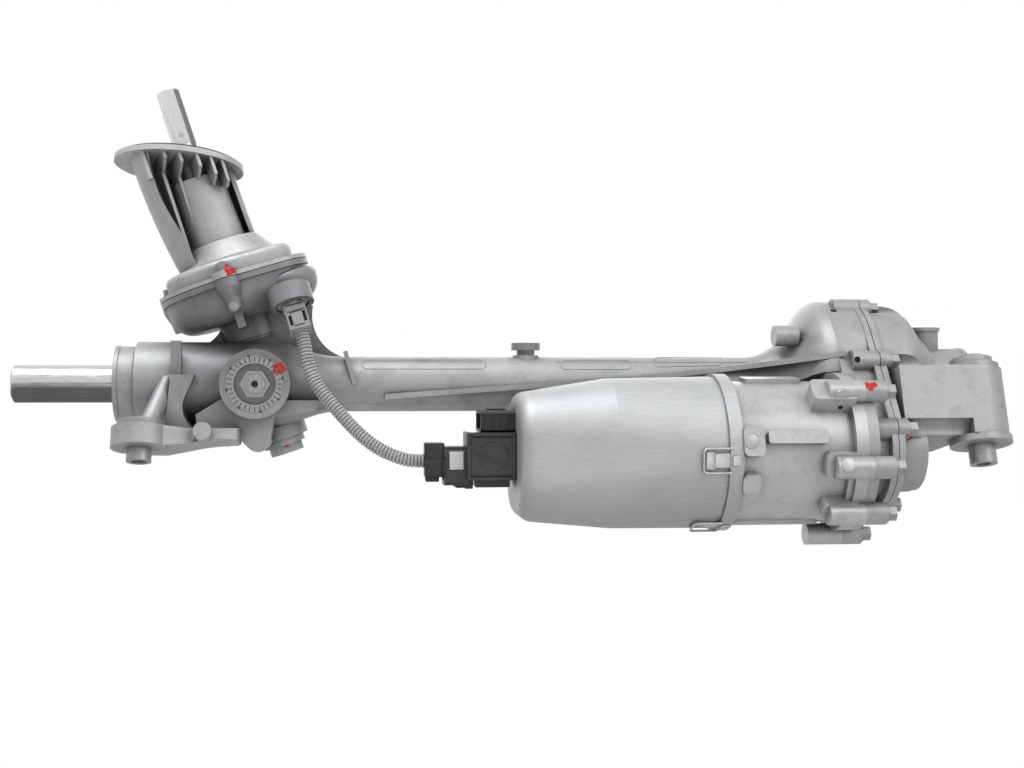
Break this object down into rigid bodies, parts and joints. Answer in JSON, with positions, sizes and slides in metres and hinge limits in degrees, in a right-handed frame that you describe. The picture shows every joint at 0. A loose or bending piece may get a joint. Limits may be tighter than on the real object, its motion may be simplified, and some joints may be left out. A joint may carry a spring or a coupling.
{
  "type": "electric power steering rack",
  "caption": "Electric power steering rack: cast housing, toothed bar, pinion tower with input shaft, belt-driven ball nut and a motor with its control unit.",
  "frame": {"origin": "centre of the left mounting sleeve's lower face", "axes": "+X along the rack bar towards the belt drive, +Z along the mounting bolts towards the pinion tower's side, +Y away from the motor"},
  "size_m": [0.7567, 0.1823, 0.3539],
  "materials": {
    "cast_aluminium": "blasted sand casting",
    "machined_steel": "ground and polished",
    "zinc_steel": "zinc plated",
    "cover_aluminium": "brushed sheet",
    "black_plastic": "moulded",
    "grey_plastic": "moulded",
    "rubber": "moulded",
    "gasket": "cured sealant",
    "laminations": "stacked sheet with windings",
    "bronze": "sintered liner",
    "board": "laminate"
  },
  "bodies": {
    "housing": {"main_housing": "cast_aluminium", "end_housing": "cast_aluminium", "tower_cover": "cast_aluminium", "bulkhead_seal": "rubber", "pinion_plug": "cast_aluminium", "pinion_lower_bearing": "machined_steel", "pinion_upper_bearing": "machined_steel", "input_bearing": "machined_steel", "shaft_seal": "rubber", "torque_sensor": "black_plastic", "tower_gasket": "gasket", "rack_yoke": "cast_aluminium", "yoke_liner": "bronze", "yoke_rings": "rubber", "yoke_plug": "zinc_steel", "yoke_adjuster": "zinc_steel", "yoke_spring": "zinc_steel", "nut_bearing": "machined_steel", "bearing_ring_nut": "zinc_steel", "drive_belt": "rubber", "motor_housing": "cast_aluminium", "control_unit_cover": "cover_aluminium", "clamp_band": "cover_aluminium", "stator": "laminations", "motor_bearings": "machined_steel", "control_board": "board", "vent_button": "grey_plastic", "case_bolts": "zinc_steel", "motor_bolts": "zinc_steel", "tower_bolts": "zinc_steel", "connector_block": "black_plastic", "power_connector": "black_plastic", "harness_plug": "black_plastic", "harness_conduit": "grey_plastic", "sensor_plug": "grey_plastic", "left_mount_sleeve": "zinc_steel", "right_mount_sleeve": "zinc_steel", "right_mount_bush": "cast_aluminium", "band_clips": "machined_steel", "case_gasket": "gasket"},
    "rack": {"rack_bar": "machined_steel"},
    "ball_nut": {"ball_nut": "machined_steel", "driven_pulley": "black_plastic"},
    "pinion": {"pinion_shaft": "machined_steel"},
    "input_shaft": {"input_shaft": "machined_steel", "torsion_bar": "machined_steel", "shaft_pin": "machined_steel", "sensor_magnet": "machined_steel"},
    "rotor": {"rotor": "laminations", "rotor_shaft": "machined_steel", "drive_pulley": "machined_steel"}
  },
  "joints": [
    {"name": "nut_turn", "type": "hinge", "parent": "housing", "child": "ball_nut", "pos_m": [0.539, 0.066, 0.0755], "axis": [1, 0, 0], "range_deg": [-4165.7, 1748.5]},
    {"name": "rack_slide", "type": "slide", "parent": "housing", "child": "rack", "axis": [1, 0, 0], "range_m": [-0.034, 0.081]},
    {"name": "pinion_turn", "type": "hinge", "parent": "housing", "child": "pinion", "pos_m": [0.0804, 0.08364, 0.08073], "axis": [-0.314, -0.2697, 0.9103], "range_deg": [-232.1, 552.69]},
    {"name": "torsion_twist", "type": "hinge", "parent": "pinion", "child": "input_shaft", "pos_m": [0.06156, 0.06746, 0.13534], "axis": [-0.314, -0.2697, 0.9103], "range_deg": [-4.5, 4.5], "stiffness_Nm_per_rad": 125},
    {"name": "rotor_turn", "type": "hinge", "parent": "housing", "child": "rotor", "pos_m": [0.539, 0.01692, 0.00881], "axis": [1, 0, 0], "range_deg": [-11571.89, 4857.44]}
  ],
  "couplings": [
    {"joint": "rack_slide", "follows": "nut_turn", "m_per_rad": -0.0011141},
    {"joint": "pinion_turn", "follows": "nut_turn", "ratio": -0.13263},
    {"joint": "rotor_turn", "follows": "nut_turn", "ratio": 2.7778}
  ]
}
